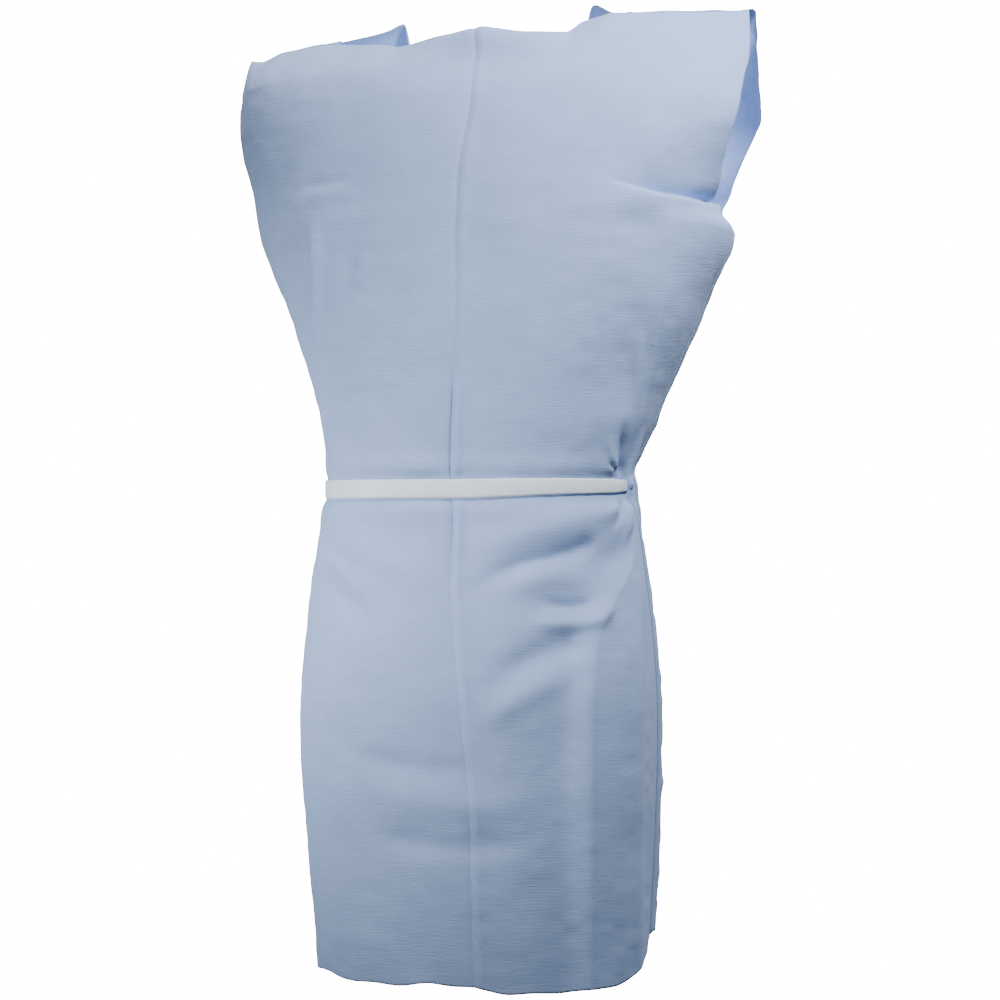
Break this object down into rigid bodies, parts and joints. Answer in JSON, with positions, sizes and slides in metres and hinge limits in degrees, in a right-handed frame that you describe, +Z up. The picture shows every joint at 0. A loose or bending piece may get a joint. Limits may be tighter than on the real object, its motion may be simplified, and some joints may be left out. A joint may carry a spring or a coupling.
{
  "type": "patient gown",
  "caption": "Sleeveless disposable patient gown in pale blue laminated sheet, worn shape, open at the back and gathered by a flat white waist tie.",
  "frame": {"origin": "middle of the shoulder line, between the two shoulder strips, where a wearer's shoulders carry the gown", "axes": "+Z up, front faces -Y, +X is the side on the right when the front is looked at (the wearer's left)"},
  "size_m": [0.5685, 0.288, 1.0199],
  "materials": {
    "sheet": "matte, finely creped",
    "seam": "matte, bonded",
    "tie": "soft satin"
  },
  "bodies": {
    "gown": {"front_panel": "sheet", "back_right_panel": "sheet", "back_left_panel": "sheet", "side_seam_right": "seam", "side_seam_left": "seam", "shoulder_right": "sheet", "shoulder_left": "sheet", "tie_band": "tie", "tie_knot": "tie"},
    "outer_flap": {"back_right_flap": "sheet"},
    "inner_flap": {"back_left_flap": "sheet"},
    "tail_right": {"tie_tail_right": "tie"},
    "tail_left": {"tie_tail_left": "tie"}
  },
  "joints": [
    {"name": "outer_flap_swing", "type": "hinge", "parent": "gown", "child": "outer_flap", "pos_m": [0.1735, 0.008, -0.75], "axis": [0, 0, -1], "range_deg": [0, 60]},
    {"name": "inner_flap_swing", "type": "hinge", "parent": "gown", "child": "inner_flap", "pos_m": [-0.095, 0.135, -0.75], "axis": [0, 0, 1], "range_deg": [0, 30]},
    {"name": "tail_right_swing", "type": "hinge", "parent": "gown", "child": "tail_right", "pos_m": [-0.1178, 0.108, -0.5025], "axis": [1, 0, 0], "range_deg": [0, 70]},
    {"name": "tail_left_swing", "type": "hinge", "parent": "gown", "child": "tail_left", "pos_m": [-0.1408, 0.108, -0.5025], "axis": [1, 0, 0], "range_deg": [0, 70]}
  ],
  "couplings": [
    {"joint": "inner_flap_swing", "follows": "outer_flap_swing", "ratio": 0.5}
  ]
}
